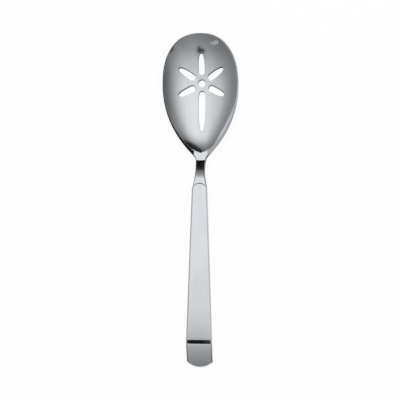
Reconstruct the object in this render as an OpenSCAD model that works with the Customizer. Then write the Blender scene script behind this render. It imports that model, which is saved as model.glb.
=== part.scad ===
// Slotted serving spoon with a hollow handle.
// A forged bowl, neck and tang are one piece. Two handle shells close round the tang
// and meet on a seam at half their height, and cement fills the space about the tang.
// +Y points to the bowl's tip, +X to the right, +Z up. The spoon lies at rest on the
// underside of its bowl and on the end of its handle.

/* [Whole spoon] */
// Length of the spoon from the bowl's tip to the handle's end
spoon_l = 228; // [215:1:245]

/* [Bowl] */
// Width of the bowl over its rim
bowl_w = 52.4; // [44:0.2:60]
// Length of the bowl's front, from its widest place to its tip
front_l = 35; // [30:0.5:42]
// Length of the hollow behind the widest place
rear_l = 46.4; // [42:0.2:50]
// Length in which the outline behind the widest place would run to a point
point_l = 52.6; // [51:0.1:58]
// Depth of the hollow under the rim
bowl_depth = 10.5; // [8:0.25:14]
// Thickness of the bowl at its bottom
bowl_wall = 1.5; // [1:0.1:2.2]
// Width of the rim, from the hollow's edge to the outside
rim_w = 0.9; // [0.85:0.05:1.6]
// Added width of the rim where the hollow ends at the neck
rim_rear_w = 1.7; // [1:0.1:2.4]
// Height of the rim's outer side, bevel and edge together
rim_edge_t = 1.3; // [1.1:0.05:1.8]
// Added height of the rim's outer side where the hollow ends at the neck
rim_rear_edge_t = 2.1; // [1.9:0.1:2.6]
// Width of the steep bevel round the rim
rim_bevel = 0.7; // [0.4:0.05:0.8]
// Added width of that bevel where the hollow ends at the neck
rim_rear_bevel = 1.7; // [0.8:0.1:1.8]
// Height by which the bevel's inner edge lies under the hollow's edge
rim_fall = 0.1; // [0.05:0.05:0.3]
// Height by which the rim rises from the neck to the bowl's tip
rim_rise = 10.5; // [6:0.5:14]
// Height by which the rim sags between the neck and the tip
rim_sag = 0.8; // [0.2:0.1:1.6]

/* [Piercing] */
// Distance of the piercing's centre in front of the bowl's widest place
star_fwd = 2.5; // [-3:0.1:3]
// Diameter of the round hole at the centre
hole_d = 5; // [4.2:0.1:5.8]
// Distance from the centre to the near end of the front slot
front_slot_from = 5.7; // [4.6:0.1:8]
// Length of the front slot
front_slot_l = 14.4; // [10:0.1:18]
// Width of the front slot
front_slot_w = 4.3; // [3.2:0.1:5]
// Distance from the centre to the near end of the long rear slot
rear_slot_from = 5.4; // [4.6:0.1:8]
// Length of the long rear slot
rear_slot_l = 28; // [20:0.1:30]
// Width of the long rear slot
rear_slot_w = 4.9; // [3.6:0.1:5.4]
// Distance from the centre to the near end of each side slot
side_slot_from = 5.5; // [4.8:0.1:7]
// Length of each side slot
side_slot_l = 12.5; // [8:0.1:15]
// Width of each side slot
side_slot_w = 4.6; // [3:0.1:5]
// Angle of the two front side slots, forward of straight across
front_side_angle = 32.5; // [30:0.5:38]
// Angle of the two rear side slots, back from straight across
rear_side_angle = 29.5; // [26:0.5:34]

/* [Neck] */
// Width of the neck at its narrowest place
neck_w = 6.2; // [5:0.1:8]
// Thickness of the neck
neck_t = 4.4; // [4:0.1:5]
// Distance from the end of the bowl's hollow to the neck's narrowest place
neck_front_l = 12.7; // [9.5:0.1:13]
// Distance from the neck's narrowest place to the middle of the handle's front end
neck_back_l = 8.6; // [8:0.2:13]
// Width of the neck where it meets the handle
neck_end_w = 9.2; // [8:0.1:10]
// Width of the bevels along the neck
neck_bevel = 0.4; // [0.3:0.05:0.8]
// Length behind the hollow's end in which the rim's bevel narrows to the neck's
bevel_turn_l = 1.8; // [1.6:0.1:4]
// Height of the neck's sides at its narrowest place
neck_side_t = 2.6; // [2:0.1:3.2]
// Height of the neck's sides where it meets the handle
neck_end_side_t = 3.6; // [3.2:0.05:3.7]
// Length of the level land between the bowl's hollow and the neck's climb
land_l = 5.2; // [4:0.1:6.5]
// Height that the neck climbs from the land to the handle
climb_h = 6; // [4:0.1:8]
// Length of the climb
climb_l = 16; // [13:0.1:18]
// Radius of the arc on which the neck meets the handle
joint_r = 5.6; // [5.3:0.1:7]
// Depth of the step from the handle's face down to the neck's
joint_step = 0.3; // [0.1:0.05:0.5]

/* [Handle] */
// Width of the handle at its front end
handle_front_w = 10.1; // [10:0.1:12]
// Width of the handle at its end
handle_end_w = 17.6; // [14:0.1:22]
// Thickness of the handle at its front end
handle_front_t = 5; // [4.8:0.1:6]
// Thickness of the handle at its bend
handle_bend_t = 3.6; // [3.2:0.1:4.4]
// Thickness of the handle's end
handle_end_t = 2.2; // [1.8:0.1:2.8]
// Width of the bevels along the handle's face and back
handle_bevel = 0.8; // [0.4:0.05:1]
// Thickness of the shells' walls
shell_t = 0.8; // [0.6:0.05:0.9]
// Length of the straight tip behind the bend
tip_l = 14.8; // [12:0.2:20]
// Length of the bend
bend_l = 4; // [3:0.2:6]
// Angle by which the tip drops from level behind the bend
tip_angle = 22; // [12:0.5:28]
// Added drop of the tip's end, over which the tip curves down
tip_droop = 2; // [0.4:0.1:3]
// Radius of the arc at the handle's end
end_r = 12.6; // [12:0.2:16]
// Radius of the two corners at the handle's end
corner_r = 2.2; // [1.4:0.1:3]

/* [Tang] */
// Length of the tang inside the handle
tang_l = 52; // [30:1:60]
// Width of the tang
tang_w = 5; // [4:0.1:6]
// Thickness of the tang
tang_t = 2.2; // [1.6:0.1:2.4]
// Length of the cement behind the tang's end
cement_past = 3; // [1:0.5:6]

/* [Hidden] */

$fn = 64;
// Overrun of every cut past the faces that it opens
cut_over = 2;
// Depth to which the tang's root runs into the neck
tang_root_l = 5;
// Powers of the outline in front of the widest place, of the hollow behind it, and of the
// hollow's section across
front_power = 2.3;
rear_power = 2.4;
across_power = 2.1;
// Share of the narrowing behind the widest place that goes with the square
square_share = 0.8;
// Width over which the bowl's outline turns into the neck's
fillet_w = 1.7;
// Bow of the hollow's rear end, whose sides reach nearer to the tip than its middle
rear_bow = 1.1;
bow_power = 8;
// Powers with which the rim grows to the rear, the underside thickens, the neck widens and
// its climb levels out, and with which the bowl's wall thins to the rim in front
rim_power = 2.5;
under_power = 4;
neck_power = 1.5;
climb_power = 1.5;
front_wall_power = 6;
// Length of the first strip at the tip as a share of the others
tip_share = 0.5;
// Share of a bevel's width that is its height: on the bowl and neck, and on the handle
rim_bevel_share = 1.3;
bevel_share = 0.55;
// Share of the neck's flat between the outer points of the hollow's row
land_share = 0.8;
// Widest place of a slot as a share of its length, and the powers of its two ends
slot_wide_share = 0.3;
slot_near_power = 3;
slot_tip_power = 2.4;
slot_count = 12;
// Counts of stations along the piece and of strips across it
front_count = 14;
rear_count = 18;
neck_count = 14;
bend_count = 6;
tip_count = 5;
across = 16;

tip_y = spoon_l / 2;
end_y = -spoon_l / 2;
wide_y = tip_y - front_l;
hollow_end_y = wide_y - rear_l;
land_end_y = hollow_end_y - land_l;
waist_y = hollow_end_y - neck_front_l;
joint_y = waist_y - neck_back_l;
star_y = wide_y + star_fwd;
joint_sag = joint_r - sqrt(pow(joint_r, 2) - pow(neck_end_w / 2, 2));
neck_end_y = joint_y - joint_sag;

function shares(count) = [for (i = [1:count]) i / count];
function mix(a, b, share) = a + (b - a) * share;
function limited(value) = max(0, min(1, value));
// The larger of two curves, with a rounded turn from one to the other
function blend_max(a, b, turn) = (a + b + sqrt(pow(a - b, 2) + pow(turn, 2))) / 2;

// Outline behind the widest place: half of its width at each place along the spoon
function rear_half(y) =
    let (s = (wide_y - y) / point_l)
    bowl_w / 2 * (1 - square_share * pow(s, 2) - (1 - square_share) * pow(s, 4));
function neck_half(y) =
    let (s = max(0, (waist_y - y) / (waist_y - neck_end_y)))
    mix(neck_w, neck_end_w, pow(s, neck_power)) / 2;
function outer_half(y) = blend_max(rear_half(y), neck_half(y), fillet_w);

// Shares of the way along the hollow's rear, and from there to the neck's ends
function rear_share(y) = limited((wide_y - y) / rear_l);
function waist_share(y) = limited((hollow_end_y + land_l - y) / (land_l + neck_front_l));
function end_share(y) = limited((waist_y - y) / (waist_y - neck_end_y));
function rim_share(y) = pow(rear_share(y), rim_power);
function bevel_w(y) =
    mix(rim_bevel + rim_rear_bevel * rim_share(y), neck_bevel,
        limited((hollow_end_y - y) / bevel_turn_l));
function side_t(y) =
    let (rim = rim_edge_t + rim_rear_edge_t * rim_share(y))
    mix(mix(rim, neck_side_t, waist_share(y)), neck_end_side_t, end_share(y));

// Heights over the rim's rear end: the rim, the land and the climb to the handle
function rim_up(y) =
    let (s = (y - hollow_end_y) / (tip_y - hollow_end_y))
    rim_rise * s - 4 * rim_sag * s * (1 - s);
function climb_up(y) =
    climb_h * (1 - pow(1 - limited((land_end_y - y) / climb_l), climb_power));
function top_up(y) = y >= hollow_end_y ? rim_up(y) : climb_up(y);
function hollow_share(y) =
    y >= wide_y ? 1 - pow((y - wide_y) / (front_l - rim_w), front_power)
    : 1 - pow(rear_share(y), rear_power);
// Height of the underside on the middle line, under the rim's level
function under_t(y) =
    bowl_depth * max(0, hollow_share(y)) + mix(bowl_wall, neck_t, pow(rear_share(y), under_power));

// The rim's rear end stands so high that the lowest place of the underside, which lies at
// the edge of the long rear slot, is at zero
strip_v = sin(180 / across);
function slot_edge_up(y) =
    top_up(y) - under_t(y) + (under_t(y) - side_t(y) - rim_fall) * pow(strip_v, across_power)
        * rear_slot_w / 2 / (strip_v * outer_half(y));
rim_rear_z = -min([for (s = shares(rear_count)) slot_edge_up(wide_y - rear_l * s)]);
function top_z(y) = rim_rear_z + top_up(y);

// Heights of the handle, from its end over the bend and up to its front end
handle_front_z = rim_rear_z + climb_h + joint_step;
bend_end_y = end_y + tip_l;
bend_start_y = bend_end_y + bend_l;
bend_end_z = handle_end_t + tip_l * tan(tip_angle) + tip_droop;
handle_slope = (handle_front_z - bend_end_z - tan(tip_angle) * bend_l / 2)
    / (joint_y - bend_start_y + bend_l / 2);
function handle_top(y) =
    let (u = y - bend_end_y, v = max(0, y - bend_start_y))
    u <= 0 ? bend_end_z + u * tan(tip_angle) - tip_droop * pow(u / tip_l, 2)
    : bend_end_z + tan(tip_angle) * min(u, bend_l) + handle_slope * v
        - (tan(tip_angle) - handle_slope) * pow(min(u, bend_l), 2) / (2 * bend_l);
function handle_t(y) =
    y >= bend_start_y
    ? mix(handle_bend_t, handle_front_t, (y - bend_start_y) / (joint_y - bend_start_y))
    : mix(handle_end_t, handle_bend_t, (y - end_y) / (bend_start_y - end_y));
function handle_half(y) =
    mix(handle_end_w, handle_front_w, max(0, (y - bend_start_y) / (joint_y - bend_start_y))) / 2;
function seam_z(y) = handle_top(y) - handle_t(y) / 2;
seam_angle = atan(handle_slope - (handle_front_t - handle_bend_t) / (joint_y - bend_start_y) / 2);
cavity_end_y = bend_start_y + bend_l;
cement_end_y = joint_y - tang_l - cement_past;

// One closed ring of points about the bowl or neck. The hollow's row lies at in_y, and
// the bevel's and the outer side's at top_y and out_y, which differ only at the tip.
function ring(in_y, top_y, out_y, in_half, top_half, out_half, depth, bow, up, under, side, bevel) =
    let (low = up - rim_fall)
    concat(
        [for (j = [0:across])
            let (v = sin(180 * j / across - 90), y = in_y + bow * pow(v, 2))
            [v * in_half, y, up - depth * (1 - pow(abs(v), across_power))]],
        [[top_half, top_y, low], [out_half, out_y, low - bevel * rim_bevel_share]],
        [for (j = [0:across])
            let (v = -sin(180 * j / across - 90))
            [v * out_half, out_y,
                low - side - (under - side - rim_fall) * (1 - pow(abs(v), across_power))]],
        [[-out_half, out_y, low - bevel * rim_bevel_share], [-top_half, top_y, low]]
    );

// Rings from the tip to the widest place, on superellipses that share one centre. The
// first ring is a short straight edge across the tip.
function front_turn(i) = 90 * (i + tip_share) / (front_count + tip_share);
function front_ring(i) =
    let (
        c = pow(cos(front_turn(i)) / cos(front_turn(0)), 2 / front_power),
        s = pow(sin(front_turn(i)), 2 / front_power),
        out_y = wide_y + front_l * c,
        in_y = wide_y + (front_l - rim_w) * c,
        depth = bowl_depth * (1 - pow(c, front_power)),
        wall = mix(bowl_wall, rim_edge_t, pow(c, front_wall_power))
    )
    ring(in_y, out_y - rim_bevel * c, out_y,
        (bowl_w / 2 - rim_w) * s, (bowl_w / 2 - rim_bevel) * s, bowl_w / 2 * s,
        depth, 0, top_z(out_y), max(rim_edge_t + rim_fall, depth + wall), rim_edge_t, rim_bevel);

// Rings behind the widest place, through the hollow's rear and the neck
function rear_ring(y) =
    let (
        past = max(0, hollow_end_y - y) / neck_front_l,
        bevel = bevel_w(y),
        half = outer_half(y),
        rim = rim_w + rim_rear_w * rim_share(y),
        land = (half - bevel) * land_share,
        bow = rear_bow * pow(rear_share(y), bow_power) * (1 - limited(2 * past))
    )
    ring(y, y + bow, y,
        mix(half - rim, land, limited(2 * past)), half - bevel, half,
        bowl_depth * max(0, hollow_share(y)), bow,
        top_z(y), under_t(y), side_t(y), bevel);

// Closed mesh through rings of the same count, capped at both ends
module loft(rings) {
    n = len(rings[0]);
    last = len(rings) - 1;
    points = [for (r = rings) each r];
    sides = [
        for (k = [0:last - 1])
            for (i = [0:n - 1])
                let (a = k * n + i, b = k * n + (i + 1) % n)
                each [[a, b, b + n], [a, b + n, a + n]]
    ];
    caps = [
        for (i = [0:n - 3])
            each [[n - 1, i + 1, i], [last * n + n - 1, last * n + i, last * n + i + 1]]
    ];
    polyhedron(points, concat(sides, caps), convexity = 6);
}

module bowl_blank() {
    loft(concat(
        [for (i = [0:front_count]) front_ring(i)],
        [for (s = shares(rear_count)) rear_ring(wide_y - rear_l * s)],
        [for (s = shares(neck_count)) rear_ring(mix(hollow_end_y, neck_end_y - cut_over, s))]
    ));
}

// Slot with a blunt near end and a long, rounded tip, lying along +X
module slot(from, l, w) {
    wide = l * slot_wide_share;
    side = [
        for (i = [0:slot_count])
            let (turn = 90 * i / slot_count)
            [wide * (1 - pow(cos(turn), 2 / slot_near_power)),
                w / 2 * pow(sin(turn), 2 / slot_near_power)],
        for (i = [slot_count - 1:-1:0])
            let (turn = 90 * i / slot_count)
            [wide + (l - wide) * pow(cos(turn), 2 / slot_tip_power),
                w / 2 * pow(sin(turn), 2 / slot_tip_power)]
    ];
    other = [for (i = [len(side) - 2:-1:1]) [side[i].x, -side[i].y]];
    translate([from, 0])
        polygon(concat(side, other));
}

// Round hole and six slots, cut straight down through the bowl
module piercing() {
    translate([0, star_y, -cut_over]) {
        cut_h = top_z(tip_y) + 2 * cut_over;
        cylinder(h = cut_h, d = hole_d);
        linear_extrude(height = cut_h) {
            rotate(90) slot(front_slot_from, front_slot_l, front_slot_w);
            rotate(-90) slot(rear_slot_from, rear_slot_l, rear_slot_w);
            for (side = [0, 1]) mirror([side, 0]) {
                rotate(front_side_angle) slot(side_slot_from, side_slot_l, side_slot_w);
                rotate(-rear_side_angle) slot(side_slot_from, side_slot_l, side_slot_w);
            }
        }
    }
}

// Space of the handle behind the arc on which the neck meets it
module handle_zone() {
    zone_h = 2 * handle_front_z;
    translate([0, joint_y - joint_r, -cut_over])
        cylinder(h = zone_h, r = joint_r);
    translate([-handle_end_w, end_y - cut_over, -cut_over])
        cube([2 * handle_end_w, neck_end_y - end_y + cut_over, zone_h]);
}

module tang() {
    translate([0, joint_y, seam_z(joint_y)])
        rotate([seam_angle, 0, 0])
            translate([-tang_w / 2, -tang_l, -tang_t / 2])
                cube([tang_w, tang_l + tang_root_l, tang_t]);
}

module bowl() {
    color("lightsteelblue") {
        difference() {
            bowl_blank();
            handle_zone();
            piercing();
        }
        tang();
    }
}

// Rings of the handle's outside and of its cavity, between two heights over the seam
handle_ys = concat(
    [joint_y + cut_over, bend_start_y],
    [for (s = shares(bend_count)) mix(bend_start_y, bend_end_y, s)],
    [for (s = shares(tip_count)) mix(bend_end_y, end_y, s)],
    [end_y - cut_over]
);
function shell_ring(y, side) =
    let (
        half = handle_half(y),
        seam = seam_z(y),
        face = seam + side * handle_t(y) / 2,
        edge = face - side * handle_bevel * bevel_share,
        section = [[half, seam], [half, edge], [half - handle_bevel, face]]
    )
    concat(
        [for (i = [2:-1:0]) [side * section[i].x, y, section[i].y]],
        [for (p = section) [-side * p.x, y, p.y]]
    );
function cavity_ring(y) =
    let (half = handle_half(y) - shell_t, up = handle_t(y) / 2 - shell_t, seam = seam_z(y))
    [[-half, y, seam + up], [half, y, seam + up], [half, y, seam - up], [-half, y, seam - up]];

// Outline of the handle's end seen from above: a shallow arc between two round corners
module end_outline() {
    offset(r = corner_r) offset(delta = -corner_r) {
        intersection() {
            translate([0, end_y + end_r])
                circle(r = end_r);
            translate([-handle_end_w / 2, end_y - cut_over])
                square([handle_end_w, end_r + cut_over]);
        }
        translate([-handle_end_w / 2, end_y + end_r - cut_over])
            square([handle_end_w, joint_y - end_y]);
    }
}

module cavity() {
    loft([cavity_ring(joint_y + cut_over), cavity_ring(cavity_end_y)]);
}

// One of the two shells: side is 1 for the front and -1 for the back
module handle_shell(side) {
    difference() {
        intersection() {
            loft([for (y = handle_ys) shell_ring(y, side)]);
            handle_zone();
            translate([0, 0, -cut_over])
                linear_extrude(height = 2 * handle_front_z) end_outline();
        }
        cavity();
    }
}

module handle_front() {
    color("gainsboro") handle_shell(1);
}

module handle_back() {
    color("silver") handle_shell(-1);
}

module tang_cement() {
    color("tan") difference() {
        intersection() {
            cavity();
            handle_zone();
            translate([-handle_end_w, cement_end_y, 0])
                cube([2 * handle_end_w, joint_y - cement_end_y + cut_over, 2 * handle_front_z]);
        }
        tang();
    }
}

bowl();
handle_front();
handle_back();
tang_cement();
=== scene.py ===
"""Looks of a slotted serving spoon: a polished bowl and neck, and a hollow handle of two shells."""

import logging
import math
from dataclasses import dataclass
from enum import Enum
from typing import Any, Callable, Sequence

import bmesh
import bpy
from bmesh.types import BMEdge, BMesh, BMLayerItem, BMVert
from mathutils import Matrix, Vector
from mathutils.geometry import delaunay_2d_cdt


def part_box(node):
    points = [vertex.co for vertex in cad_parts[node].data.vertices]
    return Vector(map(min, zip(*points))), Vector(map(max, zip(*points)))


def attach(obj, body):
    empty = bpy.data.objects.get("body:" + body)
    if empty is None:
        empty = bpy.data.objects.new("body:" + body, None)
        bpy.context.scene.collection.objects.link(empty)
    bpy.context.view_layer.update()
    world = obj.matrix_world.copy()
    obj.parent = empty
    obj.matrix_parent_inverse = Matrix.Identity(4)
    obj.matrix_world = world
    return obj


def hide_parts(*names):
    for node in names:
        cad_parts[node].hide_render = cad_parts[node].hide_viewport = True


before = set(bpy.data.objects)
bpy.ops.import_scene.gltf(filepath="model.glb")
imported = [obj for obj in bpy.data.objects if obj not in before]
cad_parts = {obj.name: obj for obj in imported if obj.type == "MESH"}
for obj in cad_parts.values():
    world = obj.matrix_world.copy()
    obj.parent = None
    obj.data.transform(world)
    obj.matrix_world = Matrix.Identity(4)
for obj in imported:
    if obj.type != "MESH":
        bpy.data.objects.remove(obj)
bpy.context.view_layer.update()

MM = 0.001
BODY = "root"
MERGE_DISTANCE = 0.0003 * MM
SHARP_ANGLE = math.radians(24)

Triple = tuple[float, float, float]
Rectangle = tuple[float, float, float, float]
Stops = tuple[tuple[float, float], ...]

log = logging.getLogger("spoon")


def mix(a: float, b: float, share: float) -> float:
    """Return the value that lies the given share of the way from a to b."""
    return a + (b - a) * share


def limited(value: float) -> float:
    """Return the value held between 0 and 1."""
    return max(0.0, min(1.0, value))


def blend_max(a: float, b: float, turn: float) -> float:
    """Return the larger of two curves, with a rounded turn of that width between them."""
    return (a + b + math.hypot(a - b, turn)) / 2


def waning(distance: float, reach: float) -> float:
    """Return a weight that falls softly from 1 at no distance to 0 at the reach."""
    return limited(1 - distance / reach) ** 2


def steps(start: float, end: float, count: int) -> list[float]:
    """Return evenly spaced values after the start, the last of which is the end."""
    return [mix(start, end, (i + 1) / count) for i in range(count)]


class Sheet(Enum):
    """The two pierced surfaces of the bowl."""

    HOLLOW = 1
    UNDERSIDE = -1


class Half(Enum):
    """The two shells of the handle."""

    FRONT = 1
    BACK = -1


@dataclass(frozen=True)
class Opening:
    """Plan of a slot or round hole: a blunt near end and a rounded tip on one axis."""

    centre_y: float
    angle: float
    start: float
    length: float
    width: float
    wide_share: float = 0.3
    near_power: float = 3.0
    tip_power: float = 2.4

    @property
    def wide(self) -> float:
        """Distance of the widest place from the near end."""
        return self.length * self.wide_share

    def local(self, turn: float) -> tuple[float, float]:
        """Return a point of the outline along and across the axis.

        Args:
            turn: Angle round the outline from the near end, in radians, up to a full turn.

        Returns:
            The distances along the axis from the near end and across it.
        """
        near = math.cos(turn) > 0
        power = self.near_power if near else self.tip_power
        reach = self.wide if near else self.length - self.wide
        along = math.copysign(reach * abs(math.cos(turn)) ** (2 / power), -math.cos(turn))
        across = self.width / 2 * abs(math.sin(turn)) ** (2 / power)
        return self.wide + along, math.copysign(across, math.sin(turn))

    def outline(self, count: int, grow: float) -> list[Vector]:
        """Return the outline in the spoon's plan, moved outwards by the given distance."""
        flat = [Vector(self.local(math.tau * i / count)) for i in range(count)]
        turned = Matrix.Rotation(self.angle, 2)
        points = []
        for i, point in enumerate(flat):
            way = flat[(i + 1) % count] - flat[i - 1]
            normal = Vector((way.y, -way.x)).normalized()
            if normal.dot(point - Vector((self.wide, 0.0))) < 0:
                normal.negate()
            place = point + normal * grow + Vector((self.start, 0.0))
            points.append(turned @ place + Vector((0.0, self.centre_y)))
        return points

    def holds(self, x: float, y: float, grow: float) -> bool:
        """Tell whether a place of the plan lies inside the outline grown by the given distance."""
        place = Matrix.Rotation(-self.angle, 2) @ Vector((x, y - self.centre_y))
        along = place.x - self.start - self.wide
        near = along < 0
        reach = (self.wide if near else self.length - self.wide) + grow
        power = self.near_power if near else self.tip_power
        share = abs(along) / reach, abs(place.y) / (self.width / 2 + grow)
        return max(share) < 1 and share[0] ** power + share[1] ** power < 1


@dataclass(frozen=True)
class Station:
    """One closed section round the bowl or neck, with the places of its rows."""

    in_y: float
    top_y: float
    out_y: float
    in_half: float
    top_half: float
    out_half: float
    depth: float
    bow: float
    up: float
    under: float
    side: float
    bevel: float


@dataclass(frozen=True)
class SpoonForm:
    """Sizes, outline and heights of the bowl and neck, which the solid model has too."""

    tip_y: float
    top_z: float
    bowl_w: float
    front_l: float = 35 * MM
    rear_l: float = 46.4 * MM
    point_l: float = 52.6 * MM
    bowl_depth: float = 10.5 * MM
    bowl_wall: float = 1.5 * MM
    rim_w: float = 0.9 * MM
    rim_rear_w: float = 1.7 * MM
    rim_edge_t: float = 1.3 * MM
    rim_rear_edge_t: float = 2.1 * MM
    rim_bevel: float = 0.7 * MM
    rim_rear_bevel: float = 1.7 * MM
    rim_fall: float = 0.1 * MM
    rim_rise: float = 10.5 * MM
    rim_sag: float = 0.8 * MM
    neck_w: float = 6.2 * MM
    neck_t: float = 4.4 * MM
    neck_front_l: float = 12.7 * MM
    neck_back_l: float = 8.6 * MM
    neck_end_w: float = 9.2 * MM
    neck_bevel: float = 0.4 * MM
    bevel_turn_l: float = 1.8 * MM
    neck_side_t: float = 2.6 * MM
    neck_end_side_t: float = 3.6 * MM
    land_l: float = 5.2 * MM
    climb_h: float = 6 * MM
    climb_l: float = 16 * MM
    climb_power: float = 1.5
    joint_r: float = 5.6 * MM
    fillet_w: float = 1.7 * MM
    rear_bow: float = 1.1 * MM
    front_power: float = 2.3
    rear_power: float = 2.4
    across_power: float = 2.1
    square_share: float = 0.8
    bow_power: float = 8.0
    rim_power: float = 2.5
    under_power: float = 4.0
    neck_power: float = 1.5
    front_wall_power: float = 6.0
    bevel_share: float = 1.3
    land_share: float = 0.8

    @property
    def wide_y(self) -> float:
        """Place of the bowl's widest section."""
        return self.tip_y - self.front_l

    @property
    def hollow_end_y(self) -> float:
        """Place where the hollow ends at the neck."""
        return self.wide_y - self.rear_l

    @property
    def waist_y(self) -> float:
        """Place of the neck's narrowest section."""
        return self.hollow_end_y - self.neck_front_l

    @property
    def joint_y(self) -> float:
        """Place of the middle of the handle's front end."""
        return self.waist_y - self.neck_back_l

    @property
    def rim_rear_z(self) -> float:
        """Height of the rim's rear end, from the bowl's highest point."""
        return self.top_z - self.rim_rise

    def arc_y(self, x: float) -> float:
        """Return the place of the arc on which the neck meets the handle."""
        return self.joint_y - self.joint_r + math.sqrt(max(0.0, self.joint_r**2 - x**2))

    @property
    def neck_end_y(self) -> float:
        """Place where the neck's sides meet the handle."""
        return self.arc_y(self.neck_end_w / 2)

    def rear_share(self, y: float) -> float:
        """Return how far along the hollow's rear a place lies."""
        return limited((self.wide_y - y) / self.rear_l)

    def waist_share(self, y: float) -> float:
        """Return how far the rim has turned into the neck at a place."""
        return limited((self.hollow_end_y + self.land_l - y) / (self.land_l + self.neck_front_l))

    def end_share(self, y: float) -> float:
        """Return how far from the waist to the handle a place lies."""
        return limited((self.waist_y - y) / (self.waist_y - self.neck_end_y))

    def outer_half(self, y: float) -> float:
        """Return half the width behind the widest section."""
        s = (self.wide_y - y) / self.point_l
        rear = self.bowl_w / 2 * (1 - self.square_share * s**2 - (1 - self.square_share) * s**4)
        neck = mix(self.neck_w, self.neck_end_w, self.end_share(y) ** self.neck_power) / 2
        return min(self.bowl_w / 2, blend_max(rear, neck, self.fillet_w))

    def rim_share(self, y: float) -> float:
        """Return how far the rim has grown to its rear size at a place."""
        return self.rear_share(y) ** self.rim_power

    def rim_half(self, y: float) -> float:
        """Return half the width of the hollow behind the widest section."""
        return self.outer_half(y) - self.rim_w - self.rim_rear_w * self.rim_share(y)

    def up(self, y: float) -> float:
        """Return the height of the rim, of the land or of the neck's top."""
        if y >= self.hollow_end_y:
            s = (y - self.hollow_end_y) / (self.tip_y - self.hollow_end_y)
            return self.rim_rear_z + self.rim_rise * s - 4 * self.rim_sag * s * (1 - s)
        climb = limited((self.hollow_end_y - self.land_l - y) / self.climb_l)
        return self.rim_rear_z + self.climb_h * (1 - (1 - climb) ** self.climb_power)

    def under(self, y: float) -> float:
        """Return the height from the rear underside's middle up to the rim's level."""
        share = self.rear_share(y)
        wall = mix(self.bowl_wall, self.neck_t, share**self.under_power)
        return self.bowl_depth * (1 - share**self.rear_power) + wall

    def front_width(self, c: float) -> float:
        """Return the share of the width that is left at a share of the way to the tip."""
        return (1 - c**self.front_power) ** (1 / self.front_power)

    def front_under(self, c: float) -> float:
        """Return the same height in front, where c is the share of the way to the tip."""
        wall = mix(self.bowl_wall, self.rim_edge_t, c**self.front_wall_power)
        depth = self.bowl_depth * (1 - c**self.front_power)
        return max(self.rim_edge_t + self.rim_fall, depth + wall)

    def side_t(self, y: float) -> float:
        """Return the height of the outer side."""
        rim = self.rim_edge_t + self.rim_rear_edge_t * self.rim_share(y)
        neck = mix(rim, self.neck_side_t, self.waist_share(y))
        return mix(neck, self.neck_end_side_t, self.end_share(y))

    def hollow_z(self, x: float, y: float) -> float:
        """Return the height of the hollow's surface at a place of the plan."""
        half = self.rim_half(y)
        up = self.up(y)
        depth = self.bowl_depth * (1 - self.rear_share(y) ** self.rear_power)
        if y >= self.wide_y:
            c = (y - self.wide_y) / (self.front_l - self.rim_w)
            half = (self.bowl_w / 2 - self.rim_w) * self.front_width(c)
            up = self.up(self.wide_y + self.front_l * c)
            depth = self.bowl_depth * (1 - c**self.front_power)
        return up - depth * (1 - (abs(x) / half) ** self.across_power)

    def under_z(self, x: float, y: float) -> float:
        """Return the height of the underside at a place of the plan."""
        half, under, side = self.outer_half(y), self.under(y), self.side_t(y)
        if y >= self.wide_y:
            c = (y - self.wide_y) / self.front_l
            half = self.bowl_w / 2 * self.front_width(c)
            under, side = self.front_under(c), self.rim_edge_t
        swell = (under - side - self.rim_fall) * (1 - (abs(x) / half) ** self.across_power)
        return self.up(y) - self.rim_fall - side - swell

    def front_station(self, turn: float) -> Station:
        """Return a section in front of the widest one.

        Args:
            turn: Angle from the tip round to the side, in radians.

        Returns:
            The section, whose rows lie on superellipses about one centre.
        """
        c = max(0.0, math.cos(turn)) ** (2 / self.front_power)
        s = math.sin(turn) ** (2 / self.front_power)
        out_y = self.wide_y + self.front_l * c
        return Station(
            in_y=self.wide_y + (self.front_l - self.rim_w) * c,
            top_y=out_y - self.rim_bevel * c,
            out_y=out_y,
            in_half=(self.bowl_w / 2 - self.rim_w) * s,
            top_half=(self.bowl_w / 2 - self.rim_bevel) * s,
            out_half=self.bowl_w / 2 * s,
            depth=self.bowl_depth * (1 - c**self.front_power),
            bow=0.0,
            up=self.up(out_y),
            under=self.front_under(c),
            side=self.rim_edge_t,
            bevel=self.rim_bevel,
        )

    def rear_station(self, y: float) -> Station:
        """Return a section behind the widest one, through the hollow's rear or the neck."""
        past = limited(2 * max(0.0, self.hollow_end_y - y) / self.neck_front_l)
        rim_bevel = self.rim_bevel + self.rim_rear_bevel * self.rim_share(y)
        bevel = mix(rim_bevel, self.neck_bevel, limited((self.hollow_end_y - y) / self.bevel_turn_l))
        half = self.outer_half(y)
        share = self.rear_share(y)
        bow = self.rear_bow * share**self.bow_power * (1 - past)
        return Station(
            in_y=y,
            top_y=y + bow,
            out_y=y,
            in_half=mix(self.rim_half(y), (half - bevel) * self.land_share, past),
            top_half=half - bevel,
            out_half=half,
            depth=self.bowl_depth * (1 - share**self.rear_power),
            bow=bow,
            up=self.up(y),
            under=self.under(y),
            side=self.side_t(y),
            bevel=bevel,
        )


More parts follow.
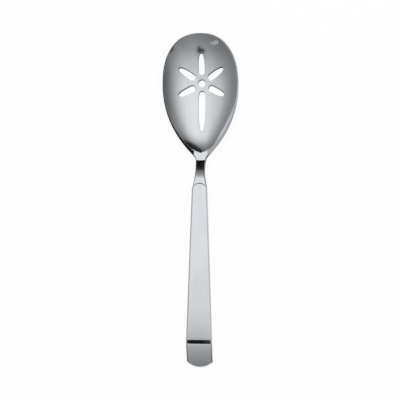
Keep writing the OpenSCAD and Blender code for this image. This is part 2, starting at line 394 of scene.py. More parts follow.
@dataclass
class Bowl:
    """The forged piece: pierced bowl, neck and tang."""

    form: SpoonForm
    hole_d: float = 5 * MM
    star_fwd: float = 2.5 * MM
    front_slot: Triple = (5.7 * MM, 14.4 * MM, 4.3 * MM)
    rear_slot: Triple = (5.4 * MM, 28 * MM, 4.9 * MM)
    side_slot: Triple = (5.5 * MM, 12.5 * MM, 4.6 * MM)
    front_side_angle: float = 32.5
    rear_side_angle: float = 29.5
    edge_r: float = 0.16 * MM
    cut_lean: float = 0.3 * MM
    cut_margin: float = 0.15 * MM
    edge_steps: int = 4
    tang_l: float = 52 * MM
    tang_w: float = 5 * MM
    tang_t: float = 2.2 * MM
    seam_z: float = 13.6 * MM
    seam_slope: float = 0.03
    edge_rounds: tuple[float, float] = (0.2 * MM, 0.45 * MM)
    round_share: float = 0.45
    joint_groove: float = 0.6 * MM
    front_count: int = 44
    rear_count: int = 60
    neck_count: int = 44
    across: int = 64
    side_crowding: float = 0.7
    bevel_steps: int = 5
    slot_points: int = 64

    @property
    def star_y(self) -> float:
        """Place of the piercing's centre."""
        return self.form.wide_y + self.star_fwd

    def openings(self) -> list[Opening]:
        """Return the round hole and the six slots."""
        right = math.radians(90)
        slots = [(right, self.front_slot), (-right, self.rear_slot)]
        for angle in (self.front_side_angle, -self.rear_side_angle):
            turned = math.radians(angle)
            slots += [(turned, self.side_slot), (math.pi - turned, self.side_slot)]
        found = [Opening(self.star_y, angle, *sizes) for angle, sizes in slots]
        r = self.hole_d / 2
        found.append(Opening(self.star_y, 0.0, -r, 2 * r, 2 * r, 0.5, 2.0, 2.0))
        return found

    def columns(self) -> list[float]:
        """Return the shares of the half width at which the rows' points lie, from left to right."""
        evenly = [2 * i / self.across - 1 for i in range(self.across + 1)]
        return [mix(w, math.sin(w * math.pi / 2), self.side_crowding) for w in evenly]

    def section(self, station: Station) -> list[Vector]:
        """Return one closed section: the hollow's row, a side, the underside's row and the other side.

        Args:
            station: The section's sizes.

        Returns:
            Its points, whose count is the same at every station.
        """
        power = self.form.across_power
        side = self.side_path(station)
        points = [
            Vector((v * station.in_half, station.in_y + station.bow * v**2,
                    station.up - station.depth * (1 - abs(v) ** power)))
            for v in self.columns()
        ]
        points += side
        low = station.up - self.form.rim_fall
        swell = station.under - station.side - self.form.rim_fall
        points += [
            Vector((-v * station.out_half, station.out_y,
                    low - station.side - swell * (1 - abs(v) ** power)))
            for v in self.columns()
        ]
        points += [Vector((-x, y, z)) for x, y, z in reversed(side)]
        return points

    def side_path(self, station: Station) -> list[Vector]:
        """Return the side of a section, from the hollow's edge over the steep bevel and down.

        Args:
            station: The section's sizes.

        Returns:
            The points of the two rounded corners.
        """
        low = station.up - self.form.rim_fall
        bevel_h = station.bevel * self.form.bevel_share
        corners = [
            Vector((station.in_half, station.in_y + station.bow, station.up)),
            Vector((station.top_half, station.top_y, low)),
            Vector((station.out_half, station.out_y, low - bevel_h)),
            Vector((station.out_half, station.out_y, low - station.side)),
        ]
        points = []
        for round_r, before, at, after in zip(self.edge_rounds, corners, corners[1:], corners[2:]):
            room = min((before - at).length, (after - at).length)
            reach = min(round_r, self.round_share * room)
            start = at + (before - at).normalized() * reach
            end = at + (after - at).normalized() * reach
            for step in range(self.bevel_steps + 1):
                share = step / self.bevel_steps
                points.append(start.lerp(at, share).lerp(at.lerp(end, share), share))
        return points

    def neck_section(self, share: float) -> list[Vector]:
        """Return a section between the waist and the joint's arc, on which the last one lies."""
        form = self.form
        points = self.section(form.rear_station(mix(form.waist_y, form.neck_end_y, share)))
        for p in points:
            p.y += (form.arc_y(p.x) - form.neck_end_y) * share**2
        return points

    def tang_section(self, base: Sequence[Vector], y: float) -> list[Vector]:
        """Return the neck's last section drawn in to the tang's and set at a place."""
        points = []
        for p in base:
            x = max(-self.tang_w / 2, min(self.tang_w / 2, p.x))
            place = y if y < self.form.neck_end_y - self.tang_w else self.form.arc_y(x)
            middle = self.seam_z + (place - self.form.joint_y) * self.seam_slope
            z = max(middle - self.tang_t / 2, min(middle + self.tang_t / 2, p.z))
            points.append(Vector((x, place, z)))
        return points

    def sections(self) -> list[list[Vector]]:
        """Return every section, from the bowl's tip to the tang's end."""
        form = self.form
        found = [
            self.section(form.front_station(math.pi / 2 * i / self.front_count))
            for i in range(self.front_count + 1)
        ]
        places = steps(form.wide_y, form.hollow_end_y, self.rear_count)
        places += steps(form.hollow_end_y, form.waist_y, self.neck_count)
        found += [self.section(form.rear_station(y)) for y in places]
        found += [self.neck_section(s) for s in steps(0.0, 1.0, self.neck_count // 2)]
        found.append([p.copy() for p in found[-1]])
        for p in found[-1]:
            p.z -= self.joint_groove * limited((p.z - self.seam_z) / self.joint_groove)
        shoulder = self.tang_section(found[-1], form.joint_y)
        return [*found, shoulder, self.tang_section(shoulder, form.joint_y - self.tang_l)]

    def sheet_of(self, vert: BMVert, place: BMLayerItem) -> Sheet | None:
        """Return the pierced surface on whose row a point lies, if it isn't on a side."""
        past = vert[place] - self.across - 2 * (self.bevel_steps + 1)
        if vert[place] <= self.across:
            return Sheet.HOLLOW
        return Sheet.UNDERSIDE if 0 < past <= self.across + 1 else None

    def pierce(self, bm: BMesh, place: BMLayerItem) -> None:
        """Open the hole and slots in both surfaces and join the surfaces with round-edged walls.

        Args:
            bm: The closed piece.
            place: The layer that holds each point's place in its section.
        """
        openings = self.openings()
        margin = self.edge_r + self.cut_lean + self.cut_margin
        reach = self.star_y - self.rear_slot[0] - self.rear_slot[1] - margin
        struck = {
            v for v in bm.verts
            if v.co.y > reach and self.sheet_of(v, place)
            and any(o.holds(v.co.x, v.co.y, margin) for o in openings)
        }
        faces = [f for f in bm.faces if any(v in struck for v in f.verts)]
        bmesh.ops.delete(bm, geom=faces, context="FACES")
        border: dict[Sheet, list[BMEdge]] = {sheet: [] for sheet in Sheet}
        for edge in bm.edges:
            if edge.is_boundary:
                border[self.sheet_of(edge.verts[0], place)].append(edge)
        for opening in openings:
            upper, lower = self.cut_wall(bm, opening)
            border[Sheet.HOLLOW] += upper
            border[Sheet.UNDERSIDE] += lower
        for edges in border.values():
            fill_between(bm, edges)

    def cut_wall(self, bm: BMesh, opening: Opening) -> tuple[list, list]:
        """Make the wall of one opening, with a round edge at both surfaces.

        Args:
            bm: The piece's mesh.
            opening: The slot or hole.

        Returns:
            The wall's upper and lower edge loops.
        """
        turns = [math.pi / 2 * i / self.edge_steps for i in range(self.edge_steps + 1)]
        rows = [(Sheet.HOLLOW, self.form.hollow_z, turn) for turn in turns]
        rows += [(Sheet.UNDERSIDE, self.form.under_z, turn) for turn in reversed(turns)]
        index = bm.verts.layers.int["slot"]
        verts = ring(bm, self.slot_points, opening.length, index)
        edges = list(dict.fromkeys(e for v in verts for e in v.link_edges))
        first = edges
        for row, (sheet, height, turn) in enumerate(rows):
            if row:
                edges, verts = grow_loop(bm, edges)
            outline = opening.outline(self.slot_points, self.edge_r * (1 - math.sin(turn)))
            for vert in verts:
                x, y = outline[vert[index]]
                if sheet is Sheet.UNDERSIDE:
                    y -= self.cut_lean
                drop = sheet.value * self.edge_r * (1 - math.cos(turn))
                vert.co = (x, y, height(x, y) - drop)
        return first, edges

    def build(self) -> bpy.types.Object:
        """Build the piece and return its object."""
        bm = bmesh.new()
        place = bm.verts.layers.int.new("place")
        bm.verts.layers.int.new("slot")
        sections = self.sections()
        verts = ring(bm, len(sections[0]), self.form.bowl_w, place)
        edges = list(bm.edges)
        for row, section in enumerate(sections):
            if row:
                edges, verts = grow_loop(bm, edges)
            for vert in verts:
                vert.co = section[vert[place]]
        bmesh.ops.edgeloop_fill(bm, edges=edges)
        bmesh.ops.remove_doubles(bm, verts=bm.verts, dist=MERGE_DISTANCE)
        self.pierce(bm, place)
        return finished(bm, "spoon_bowl")


def ring(bm: BMesh, count: int, radius: float, layer: BMLayerItem) -> list[BMVert]:
    """Start a closed loop whose points are numbered in a layer, and return the points."""
    verts = bmesh.ops.create_circle(bm, segments=count, radius=radius)["verts"]
    for i, vert in enumerate(verts):
        vert[layer] = i
    return verts


def grow_loop(bm: BMesh, edges: Sequence[BMEdge]) -> tuple[list, list]:
    """Extrude a closed loop of edges by one row.

    Args:
        bm: The mesh.
        edges: The loop.

    Returns:
        The new loop's edges and its points.
    """
    made = bmesh.ops.extrude_edge_only(bm, edges=list(edges))["geom"]
    verts = [g for g in made if isinstance(g, BMVert)]
    new = set(verts)
    loop = [g for g in made if isinstance(g, BMEdge) and set(g.verts) <= new]
    return loop, verts


def fill_between(bm: BMesh, edges: Sequence[BMEdge]) -> None:
    """Fill the space between nested loops, seen from above, with triangles.

    Args:
        bm: The mesh.
        edges: All the loops' edges.
    """
    verts = list(dict.fromkeys(v for e in edges for v in e.verts))
    index = {v: i for i, v in enumerate(verts)}
    ends = [(index[e.verts[0]], index[e.verts[1]]) for e in edges]
    flat = [v.co.xy.copy() for v in verts]
    coords, _, faces, sources, _, _ = delaunay_2d_cdt(flat, ends, [], 0, MERGE_DISTANCE)
    lines = [(flat[a], flat[b]) for a, b in ends]
    for face in faces:
        middle = sum((coords[i] for i in face), Vector((0.0, 0.0))) / len(face)
        crossed = 0
        for a, b in lines:
            if (a.y > middle.y) != (b.y > middle.y):
                crossed += mix(a.x, b.x, (middle.y - a.y) / (b.y - a.y)) > middle.x
        if crossed % 2:
            bm.faces.new([verts[sources[i][0]] for i in face])


def finished(bm: BMesh, name: str) -> bpy.types.Object:
    """Merge, orient and shade a mesh, and return its object.

    Args:
        bm: The mesh, which is freed.
        name: The piece's name.

    Returns:
        The object, linked to the scene.
    """
    bmesh.ops.remove_doubles(bm, verts=bm.verts, dist=MERGE_DISTANCE)
    bmesh.ops.dissolve_degenerate(bm, dist=MERGE_DISTANCE, edges=bm.edges)
    bmesh.ops.recalc_face_normals(bm, faces=bm.faces)
    for face in bm.faces:
        face.smooth = True
    for edge in bm.edges:
        if len(edge.link_faces) == 2:
            edge.smooth = edge.calc_face_angle(0.0) < SHARP_ANGLE
    open_edges = sum(1 for e in bm.edges if len(e.link_faces) != 2)
    log.info("%s: %d faces, %d open edges", name, len(bm.faces), open_edges)
    return placed(bm, name)


def placed(bm: BMesh, name: str) -> bpy.types.Object:
    """Make an object of a mesh, link it to the scene and free the mesh."""
    mesh = bpy.data.meshes.new(name)
    bm.to_mesh(mesh)
    bm.free()
    made = bpy.data.objects.new(name, mesh)
    bpy.context.scene.collection.objects.link(made)
    return made


@dataclass
class Handle:
    """The hollow handle: two shells that meet on the side seam."""

    form: SpoonForm
    end_y: float
    front_w: float = 10.1 * MM
    end_w: float = 17.6 * MM
    front_t: float = 5 * MM
    bend_t: float = 3.6 * MM
    end_t: float = 2.2 * MM
    bevel: float = 0.8 * MM
    bevel_share: float = 0.55
    shell_t: float = 0.8 * MM
    tip_l: float = 14.8 * MM
    bend_l: float = 4 * MM
    tip_angle: float = 22.0
    tip_droop: float = 2.0 * MM
    end_r: float = 12.6 * MM
    corner_r: float = 2.2 * MM
    joint_step: float = 0.3 * MM
    front_edge: float = 0.6 * MM
    seam_groove: float = 0.06 * MM
    arc_reach: float = 8 * MM
    end_reach: float = 12 * MM
    bend_margins: tuple[float, float] = (3 * MM, 2 * MM)
    row_counts: tuple[int, ...] = (16, 40, 36, 24)
    plan_rounds: int = 3
    across: int = 40
    bevel_steps: int = 4

    @property
    def bend_end_y(self) -> float:
        """Place where the bend ends and the straight tip starts."""
        return self.end_y + self.tip_l

    @property
    def bend_start_y(self) -> float:
        """Place where the bend starts."""
        return self.bend_end_y + self.bend_l

    @property
    def tip_slope(self) -> float:
        """Fall of the straight tip."""
        return math.tan(math.radians(self.tip_angle))

    @property
    def slope(self) -> float:
        """Rise of the handle's face from the bend to the front end."""
        front_z = self.form.rim_rear_z + self.form.climb_h + self.joint_step
        bend_end_z = self.end_t + self.tip_l * self.tip_slope + self.tip_droop
        rise = front_z - bend_end_z - self.tip_slope * self.bend_l / 2
        return rise / (self.form.joint_y - self.bend_start_y + self.bend_l / 2)

    def face_z(self, y: float) -> float:
        """Return the height of the front face on the middle line."""
        u = y - self.bend_end_y
        z = self.end_t + self.tip_l * self.tip_slope + self.tip_droop
        if u <= 0:
            return z + u * self.tip_slope - self.tip_droop * (u / self.tip_l) ** 2
        bent = min(u, self.bend_l)
        turn = (self.tip_slope - self.slope) * bent**2 / (2 * self.bend_l)
        return z + self.tip_slope * bent + self.slope * max(0.0, u - self.bend_l) - turn

    def thickness(self, y: float) -> float:
        """Return the handle's thickness."""
        if y >= self.bend_start_y:
            share = (y - self.bend_start_y) / (self.form.joint_y - self.bend_start_y)
            return mix(self.bend_t, self.front_t, share)
        return mix(self.end_t, self.bend_t, (y - self.end_y) / (self.bend_start_y - self.end_y))

    def half(self, y: float) -> float:
        """Return half the handle's width."""
        share = max(0.0, (y - self.bend_start_y) / (self.form.joint_y - self.bend_start_y))
        return mix(self.end_w, self.front_w, share) / 2

    def seam_z(self, y: float) -> float:
        """Return the height of the seam."""
        return self.face_z(y) - self.thickness(y) / 2

    def end_curve(self, x: float, inset: float) -> float:
        """Return the place of the handle's end: an arc between two round corners.

        Args:
            x: Place across the handle.
            inset: Distance inside the end.

        Returns:
            The place along the spoon.
        """
        half = self.end_w / 2
        centre_y = self.end_y + self.end_r
        reach = half - self.corner_r
        touch = reach * self.end_r / (self.end_r - self.corner_r)
        if abs(x) <= touch * (self.end_r - inset) / self.end_r:
            return centre_y - math.sqrt((self.end_r - inset) ** 2 - x**2)
        corner_y = centre_y - math.sqrt((self.end_r - self.corner_r) ** 2 - reach**2)
        return corner_y - math.sqrt(max(0.0, (self.corner_r - inset) ** 2 - (abs(x) - reach) ** 2))

    def rows(self) -> list[float]:
        """Return the places of the rows on the middle line, close together at the bend and ends."""
        before, after = self.bend_margins
        near = self.form.joint_y - self.arc_reach
        ends = (near, self.bend_start_y + before, self.bend_end_y - after, self.end_y)
        found = [self.form.joint_y]
        for end, count in zip(ends, self.row_counts):
            found += steps(found[-1], end, count)
        return found

    def plan(self, row_y: float, u: float, inset: float, front: float) -> tuple[float, float]:
        """Return a place of the plan.

        Args:
            row_y: The row's place on the middle line.
            u: Share of the half width, from -1 to 1.
            inset: Distance inside the side edges and the end.
            front: Distance behind the front arc.

        Returns:
            The place across and along the spoon.
        """
        joint_y = self.form.joint_y
        start = waning(joint_y - row_y, self.arc_reach)
        stop = waning(row_y - self.end_y, self.end_reach)
        x, y = 0.0, row_y
        for _ in range(self.plan_rounds):
            x = u * (self.half(y) - inset)
            y = row_y + start * (self.form.arc_y(x) - front - joint_y)
            y += stop * (self.end_curve(x, inset) - self.end_y)
        return x, y

    def shell(self, side: Half) -> bpy.types.Object:
        """Build one shell.

        Args:
            side: The shell that is built.

        Returns:
            Its object.
        """
        bm = bmesh.new()
        rows = self.rows()
        count = len(rows)
        bmesh.ops.create_grid(bm, x_segments=self.across, y_segments=count - 1, size=1.0)
        row_layer = bm.verts.layers.int.new("row")
        share_layer = bm.verts.layers.float.new("share")
        for vert in bm.verts:
            vert[row_layer] = round((1 - vert.co.y) / 2 * (count - 1))
            vert[share_layer] = math.sin(vert.co.x * math.pi / 2)
        copied = bmesh.ops.duplicate(bm, geom=list(bm.faces))["geom"]
        inner = {g for g in copied if isinstance(g, BMVert)}
        outer = [v for v in bm.verts if v not in inner]

        def settle(
            verts: Sequence[BMVert], inset: float, front: float, rise: Callable[[float], float]
        ) -> None:
            """Move points to their places, at a height over the seam that varies along the spoon."""
            for vert in verts:
                x, y = self.plan(rows[vert[row_layer]], vert[share_layer], inset, front)
                vert.co = (x, y, self.seam_z(y) + side.value * rise(y))

        settle(outer, self.bevel, self.front_edge, lambda y: self.thickness(y) / 2)
        settle(inner, self.shell_t, self.shell_t, self.cavity_rise)
        edges = [e for e in bm.edges if e.is_boundary and e.verts[0] not in inner]
        far = [e for e in bm.edges if e.is_boundary and e.verts[0] in inner]
        for step in range(1, self.bevel_steps + 1):
            share = step / self.bevel_steps
            edges, verts = grow_loop(bm, edges)
            inset = self.bevel * (1 - share)
            front = self.front_edge * (1 - share)
            drop = self.bevel * self.bevel_share * share
            settle(verts, inset, front, lambda y, drop=drop: self.thickness(y) / 2 - drop)
        groove = self.seam_groove
        for inset, rise in ((0.0, 2 * groove), (groove, groove), (groove, 0.0)):
            edges, verts = grow_loop(bm, edges)
            settle(verts, inset, inset, lambda y, rise=rise: rise)
        edges, verts = grow_loop(bm, edges)
        settle(verts, self.shell_t, self.shell_t, lambda y: 0.0)
        bmesh.ops.bridge_loops(bm, edges=edges + far)
        return finished(bm, f"spoon_handle_{side.name.lower()}")

    def cavity_rise(self, y: float) -> float:
        """Return the height of the cavity over the seam, which closes before the tip."""
        closing = limited((y - self.bend_start_y) / self.bend_l)
        return max(self.seam_groove, (self.thickness(y) / 2 - self.shell_t) * closing)


@dataclass(frozen=True)
class Signal:
    """A number that varies: one output socket, with Python's operators on it."""

    graph: "Graph"
    socket: Any

    def _math(self, operation: str, first: Any, second: Any) -> "Signal":
        """Add a Math node and return its result."""
        return self.graph.add("ShaderNodeMath", {"operation": operation}, {0: first, 1: second})

    def __add__(self, other: Any) -> "Signal":
        """Return the sum."""
        return self._math("ADD", self, other)

    __radd__ = __add__

    def __mul__(self, other: Any) -> "Signal":
        """Return the product."""
        return self._math("MULTIPLY", self, other)

    __rmul__ = __mul__

    def angle(self) -> "Signal":
        """Return the angle in radians whose sine this is."""
        return self._math("ARCSINE", self, 0.0)

    def value(self) -> "Signal":
        """Return a grey colour as a number."""
        return self.graph.add("ShaderNodeRGBToBW", {}, {"Color": self})


@dataclass
class Graph:
    """The node tree of a material or of the world."""

    tree: Any

    def __post_init__(self) -> None:
        """Clear the tree."""
        self.tree.nodes.clear()

    def add(self, kind: str, settings: dict[str, Any], inputs: dict[Any, Any], output: Any = 0) -> Signal:
        """Add a node.

        Args:
            kind: The node's type.
            settings: Properties set first; "stops" holds a ramp's places and values.
            inputs: Values or signals by the input's name or number.
            output: Name or number of the output that is returned.

        Returns:
            The chosen output.
        """
        node = self.tree.nodes.new(kind)
        for name, value in settings.items():
            if name == "stops":
                ramp = node.color_ramp
                while len(ramp.elements) < len(value):
                    ramp.elements.new(1.0)
                for stop, (place, level) in zip(ramp.elements, value):
                    stop.position = place
                    stop.color = (level, level, level, 1.0)
            else:
                setattr(node, name, value)
        for name, value in inputs.items():
            if isinstance(value, Signal):
                self.tree.links.new(value.socket, node.inputs[name])
            else:
                node.inputs[name].default_value = value
        return Signal(self, node.outputs[output] if node.outputs else None)

    def smooth(self, value: Signal, low: float, high: float) -> Signal:
        """Return a smooth step of a signal from 0 at low to 1 at high."""
        settings = {"interpolation_type": "SMOOTHSTEP"}
        limits = {"From Min": low, "From Max": high}
        return self.add("ShaderNodeMapRange", settings, {"Value": value, **limits})

    def noise(self, place: Signal, scale: float, detail: float, roughness: float) -> Signal:
        """Return cloudy noise, which is finer the larger its scale is."""
        sizes = {"Scale": scale, "Detail": detail, "Roughness": roughness}
        return self.add("ShaderNodeTexNoise", {}, {"Vector": place, **sizes}, "Fac")

    def blend(self, factor: Signal, first: Sequence[float], second: Sequence[float]) -> Signal:
        """Return a colour that goes from the first to the second with the factor."""
        sides = {"A": (*first, 1.0), "B": (*second, 1.0)}
        return self.add("ShaderNodeMix", {"data_type": "RGBA"}, {"Factor": factor, **sides}, "Result")

    def ramp(self, value: Signal, stops: Stops) -> Signal:
        """Return the level that a signal has on a ramp."""
        return self.add("ShaderNodeValToRGB", {"stops": stops}, {"Fac": value}).value()

    def bump(self, height: Signal, strength: float, distance: float) -> Signal:
        """Return the normals of a fine relief."""
        sizes = {"Strength": strength, "Distance": distance}
        return self.add("ShaderNodeBump", {}, {"Height": height, **sizes})

    def finish(self, tint: Signal, rough: Signal, relief: Signal, metallic: float) -> None:
        """End a material's tree with its shader."""
        sockets = {"Base Color": tint, "Roughness": rough, "Normal": relief, "Metallic": metallic}
        self.surface(self.add("ShaderNodeBsdfPrincipled", {}, sockets))

    def surface(self, shader: Signal, kind: str = "Material") -> None:
        """End the tree with its output."""
        self.add(f"ShaderNodeOutput{kind}", {}, {"Surface": shader})


def new_material(name: str) -> tuple[bpy.types.Material, Graph]:
    """Return an empty material and its graph."""
    material = bpy.data.materials.new(name)
    material.use_nodes = True
    return material, Graph(material.node_tree)


@dataclass(frozen=True)
class PolishedSteel:
    """Mirror-polished stainless steel with hairlines, faint smears and a few dull specks."""

    name: str
    color: Triple = (0.80, 0.81, 0.82)
    dark: Triple = (0.72, 0.729, 0.738)
    roughness: float = 0.055
    hairline: float = 0.02
    smear: float = 0.03
    drawing: Triple = (1.0, 0.02, 1.0)

    def material(self) -> bpy.types.Material:
        """Build the material."""
        made, graph = new_material(self.name)
        place = graph.add("ShaderNodeTexCoord", {}, {}, "Object")
        drawn = graph.add("ShaderNodeMapping", {}, {"Vector": place, "Scale": self.drawing})
        lines = graph.noise(drawn, 1900.0, 3.0, 0.6)
        streaks = graph.noise(drawn, 620.0, 1.0, 0.5)
        cloud = graph.noise(place, 60.0, 3.0, 0.5)
        grain = graph.noise(place, 2500.0, 2.0, 0.6)
        smears = graph.smooth(cloud, 0.45, 0.75)
        fine = graph.smooth(lines, 0.35, 0.8)
        tint = graph.blend(smears * 0.3 + streaks * 0.7, self.color, self.dark)
        rough = fine * self.hairline + smears * self.smear + self.roughness
        relief = graph.bump(lines * 0.7 + grain * 0.3, 0.012, 0.02 * MM)
        graph.finish(tint, rough, relief, 1.0)
        return made


@dataclass(frozen=True)
class SetCement:
    """Dull set filler with grains and small pores."""

    name: str
    color: Triple = (0.62, 0.55, 0.44)
    dark: Triple = (0.372, 0.33, 0.264)
    roughness: float = 0.85

    def material(self) -> bpy.types.Material:
        """Build the material."""
        made, graph = new_material(self.name)
        place = graph.add("ShaderNodeTexCoord", {}, {}, "Object")
        grains = graph.noise(place, 900.0, 4.0, 0.7)
        pores = graph.add("ShaderNodeTexVoronoi", {}, {"Vector": place, "Scale": 700.0}, "Distance")
        tint = graph.blend(graph.smooth(grains, 0.3, 0.75), self.dark, self.color)
        relief = graph.bump(grains + pores, 0.6, 0.2 * MM)
        graph.finish(tint, self.roughness + grains * 0.1, relief, 0.0)
        return made


def angle_stops(*levels: tuple[float, float]) -> Stops:
    """Return a ramp's stops for levels at angles from -90 to 90 degrees."""
    return tuple((turn / 180 + 0.5, level) for turn, level in levels)


@dataclass(frozen=True)
class ClothOrPaintedShadow:
    """A cloth or card outside the picture, which only the polished steel shows, or a sheet on the table
    that paints the table's shadow as the steel reflects it.

    A patch has left, right, rear and front limits. The cover tells how dense the cloth is at
    shares of its first patch, from the rear to the front, and none means fully dense.
    """

    name: str
    z: float
    patches: tuple[Rectangle, ...]
    tone: float = 0.012
    cover: Stops = ()

    def lay(self) -> None:
        """Stage the cloth, or the sheet of painted shadow, at its height."""
        bm = bmesh.new()
        for left, right, rear, front in self.patches:
            for vert in bmesh.ops.create_grid(bm, x_segments=1, y_segments=1, size=1.0)["verts"]:
                x = right if vert.co.x > 0 else left
                vert.co = (x, front if vert.co.y > 0 else rear, self.z)
        sheet = placed(bm, self.name)
        sheet.visible_camera = False
        sheet.visible_shadow = False
        sheet.visible_diffuse = False
        made, graph = new_material(self.name)
        shader = graph.add("ShaderNodeBsdfDiffuse", {}, {"Color": (self.tone, self.tone, self.tone, 1.0)})
        if self.cover:
            place = graph.add("ShaderNodeTexCoord", {}, {}, "Object")
            y = graph.add("ShaderNodeSeparateXYZ", {}, {"Vector": place}, "Y")
            rear, front = self.patches[0][2:]
            share = y * (1 / (front - rear)) + rear / (rear - front)
            clear = graph.add("ShaderNodeBsdfTransparent", {}, {})
            dense = graph.ramp(share, self.cover)
            shader = graph.add("ShaderNodeMixShader", {}, {0: dense, 1: clear, 2: shader})
        graph.surface(shader)
        sheet.data.materials.append(made)


@dataclass
class Studio:
    """White table, surrounding light, cloths, sheets of painted table shadow and camera.

    The light's levels go from the left to the right, from the handle's side to the bowl's
    side, over the upper edge of a dark wall before the bowl, and from the nadir to the zenith.
    """

    floor_size: float = 16.0
    floor_color: Triple = (0.92, 0.92, 0.92)
    floor_glow: float = 0.92
    lamp_power: float = 6.0
    lamp_size: tuple[float, float] = (1.2, 0.9)
    lamp_place: Triple = (0.15, 0.35, 1.1)
    lens: float = 135.0
    sensor: float = 36.0
    distance: float = 1.0252
    aim: Triple = (-0.000223, 0.000093, 0.008)
    side: float = 6.5
    back: float = 5.0
    roll: float = -0.38
    sky_color: tuple[float, float, float, float] = (0.95, 0.975, 1.0, 1.0)
    sky_turn: float = 1.0
    wall_turn: float = 6.5
    beside_levels: Stops = angle_stops(
        (-90, 0.72), (-78, 0.77), (-69, 0.82), (-55, 0.81), (-40, 0.77), (-19, 0.91), (-4, 0.98),
        (6, 1.0), (32, 0.95), (42, 0.84), (51, 0.75), (60, 0.58), (68, 0.38), (76, 0.26), (90, 0.2),
    )
    ahead_levels: Stops = angle_stops(
        (-90, 0.6), (-68, 0.56), (-51, 0.5), (-38, 0.61), (-20, 0.76), (-4, 0.96), (4, 1.0),
        (18, 1.0), (32, 0.99), (36.5, 0.95), (40, 0.83), (44, 0.6), (46.5, 0.42), (48, 0.32), (53, 0.14),
    )
    wall_levels: Stops = angle_stops((0, 1.0), (48.8, 1.0), (49.8, 0.12), (52, 0.08))
    above_levels: Stops = angle_stops((0, 0.3), (15, 0.4), (25, 0.55), (32, 0.72), (40, 0.88), (50, 1.0))
    cloths_and_painted_shadows: tuple[ClothOrPaintedShadow, ...] = (
        ClothOrPaintedShadow("dark_flag", 0.228, (
            (-0.038, -0.014, -0.2286, -0.1105), (-0.066, -0.038, -0.2, -0.15), (0.33, 0.9, -0.32, -0.2),
        )),
        ClothOrPaintedShadow("thin_veil", 0.228, ((-0.038, -0.014, -0.1105, -0.04),), cover=(
            (0.0, 0.38), (0.15, 0.25), (0.25, 0.16), (0.4, 0.11), (0.7, 0.06), (1.0, 0.0),
        )),
        ClothOrPaintedShadow("gauze", 0.229, ((-0.085, 0.004, -0.208, -0.155),), cover=(
            (0.0, 0.0), (0.35, 0.45), (0.7, 0.55), (1.0, 0.3),
        )),
        ClothOrPaintedShadow("white_cards", 0.228, (
            (-0.26, -0.19, -0.315, -0.285), (-0.34, -0.26, -0.35, -0.31),
        ), tone=0.95),
        # Painted shadow: a black sheet on the table, seen only in the steel, stands for the table's
        # shadow left of the bowl and under it.
        ClothOrPaintedShadow("painted_shadow_dark_sheet", 0.0005, (
            (-0.3, -0.03, 0.01, 0.3), (-0.03, 0.012, 0.01, 0.12), (0.012, 0.02, 0.045, 0.105),
        )),
        # Painted shadow: a grey sheet on the table, seen only in the steel, stands for the shaded table
        # round the bowl's right side and beyond its tip.
        ClothOrPaintedShadow("painted_shadow_grey_sheet", 0.0005, (
            (-0.03, 0.034, 0.12, 0.3), (0.034, 0.3, 0.082, 0.3), (0.03, 0.1, 0.045, 0.082),
            (0.04, 0.1, 0.01, 0.045), (0.012, 0.04, -0.02, 0.045), (0.02, 0.03, 0.045, 0.054),
            (0.025, 0.04, 0.054, 0.066), (0.029, 0.044, 0.066, 0.09),
        ), tone=0.5),
    )

    def floor(self) -> None:
        """Lay the table, which looks white and keeps the spoon's shadow."""
        bm = bmesh.new()
        bmesh.ops.create_grid(bm, x_segments=1, y_segments=1, size=self.floor_size / 2)
        table = placed(bm, "table_top")
        made, graph = new_material("white_table")
        camera, glossy, clear = [
            graph.add("ShaderNodeLightPath", {}, {}, f"Is {kind} Ray")
            for kind in ("Camera", "Glossy", "Transmission")
        ]
        matte = graph.add("ShaderNodeBsdfDiffuse", {}, {"Color": (*self.floor_color, 1.0)})
        glow = graph.add("ShaderNodeEmission", {}, {"Strength": 1.0})
        seen = (camera + glossy + clear) * self.floor_glow
        graph.surface(graph.add("ShaderNodeMixShader", {}, {0: seen, 1: matte, 2: glow}))
        table.data.materials.append(made)

    def world(self) -> None:
        """Surround the spoon with soft light that fades to the sides and to the handle's end."""
        world = bpy.data.worlds.new("studio")
        bpy.context.scene.world = world
        world.use_nodes = True
        graph = Graph(world.node_tree)
        way = graph.add("ShaderNodeTexCoord", {}, {}, "Generated")
        x, y, z = [graph.add("ShaderNodeSeparateXYZ", {}, {"Vector": way}, axis) for axis in "XYZ"]
        sky_y, wall_y = [
            x * math.sin(math.radians(turn)) + y * math.cos(math.radians(turn))
            for turn in (self.sky_turn, self.wall_turn)
        ]
        levels = (self.ahead_levels, self.beside_levels, self.wall_levels, self.above_levels)
        ahead, beside, wall, above = [
            graph.ramp(part.angle() * (1 / math.pi) + 0.5, stops)
            for part, stops in zip((sky_y, x, wall_y, z), levels)
        ]
        strength = ahead * beside * wall * above
        light = graph.add("ShaderNodeBackground", {}, {"Color": self.sky_color, "Strength": strength})
        graph.surface(light, "World")

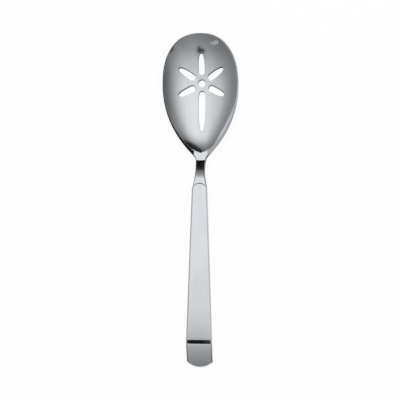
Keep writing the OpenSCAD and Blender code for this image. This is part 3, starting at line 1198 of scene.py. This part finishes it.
    def lamp(self) -> None:
        """Hang one wide soft lamp over the table, unseen in the steel."""
        data = bpy.data.lights.new("soft_lamp", "AREA")
        data.shape = "RECTANGLE"
        data.size, data.size_y = self.lamp_size
        data.energy = self.lamp_power
        lamp = bpy.data.objects.new("soft_lamp", data)
        lamp.location = self.lamp_place
        lamp.rotation_euler = (-lamp.location).to_track_quat("-Z", "Y").to_euler()
        lamp.visible_glossy = False
        bpy.context.scene.collection.objects.link(lamp)

    def camera(self) -> None:
        """Hang the camera over the spoon, a little to its right."""
        data = bpy.data.cameras.new("camera")
        data.lens = self.lens
        data.sensor_width = self.sensor
        aim = Vector(self.aim)
        side, back, roll = [math.radians(turn) for turn in (self.side, self.back, self.roll)]
        away = Vector((math.tan(side), -math.tan(back), 1.0)).normalized()
        right = Vector((math.sin(roll), math.cos(roll), 0.0)).cross(away).normalized()
        turned = Matrix((right, away.cross(right), away)).transposed()
        camera = bpy.data.objects.new("camera", data)
        camera.matrix_world = Matrix.Translation(aim + away * self.distance) @ turned.to_4x4()
        bpy.context.scene.collection.objects.link(camera)
        bpy.context.scene.camera = camera

    def build(self) -> None:
        """Set up the whole studio."""
        self.floor()
        self.world()
        for cloth_or_shadow in self.cloths_and_painted_shadows:
            cloth_or_shadow.lay()
        self.lamp()
        self.camera()
        bpy.context.scene.view_settings.view_transform = "Standard"


def dress(piece: bpy.types.Object, material: bpy.types.Material, node: str) -> None:
    """Give a new piece its finish and let it stand for its solid.

    Args:
        piece: The new piece.
        material: Its finish.
        node: The solid that it replaces.
    """
    piece.data.materials.append(material)
    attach(piece, BODY)
    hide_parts(node)
    log.info("%s stands for %s", piece.name, node)


def main() -> None:
    """Build the spoon's pieces in order, and the studio round them."""
    logging.basicConfig(level=logging.INFO, format="%(message)s")
    low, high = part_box("bowl")
    form = SpoonForm(tip_y=high.y, top_z=high.z, bowl_w=high.x - low.x)
    handle = Handle(form, end_y=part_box("handle_front")[0].y)
    bowl = Bowl(form, seam_z=handle.seam_z(form.joint_y))
    bowl_steel = PolishedSteel("bowl_steel", roughness=0.1).material()
    handle_steel = PolishedSteel("handle_steel").material()
    dress(bowl.build(), bowl_steel, "bowl")
    for side in Half:
        dress(handle.shell(side), handle_steel, f"handle_{side.name.lower()}")
    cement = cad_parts["tang_cement"]
    cement.data.materials.clear()
    cement.data.materials.append(SetCement("cement").material())
    log.info("tang_cement keeps its solid")
    Studio().build()


if __name__ == "__main__":
    main()
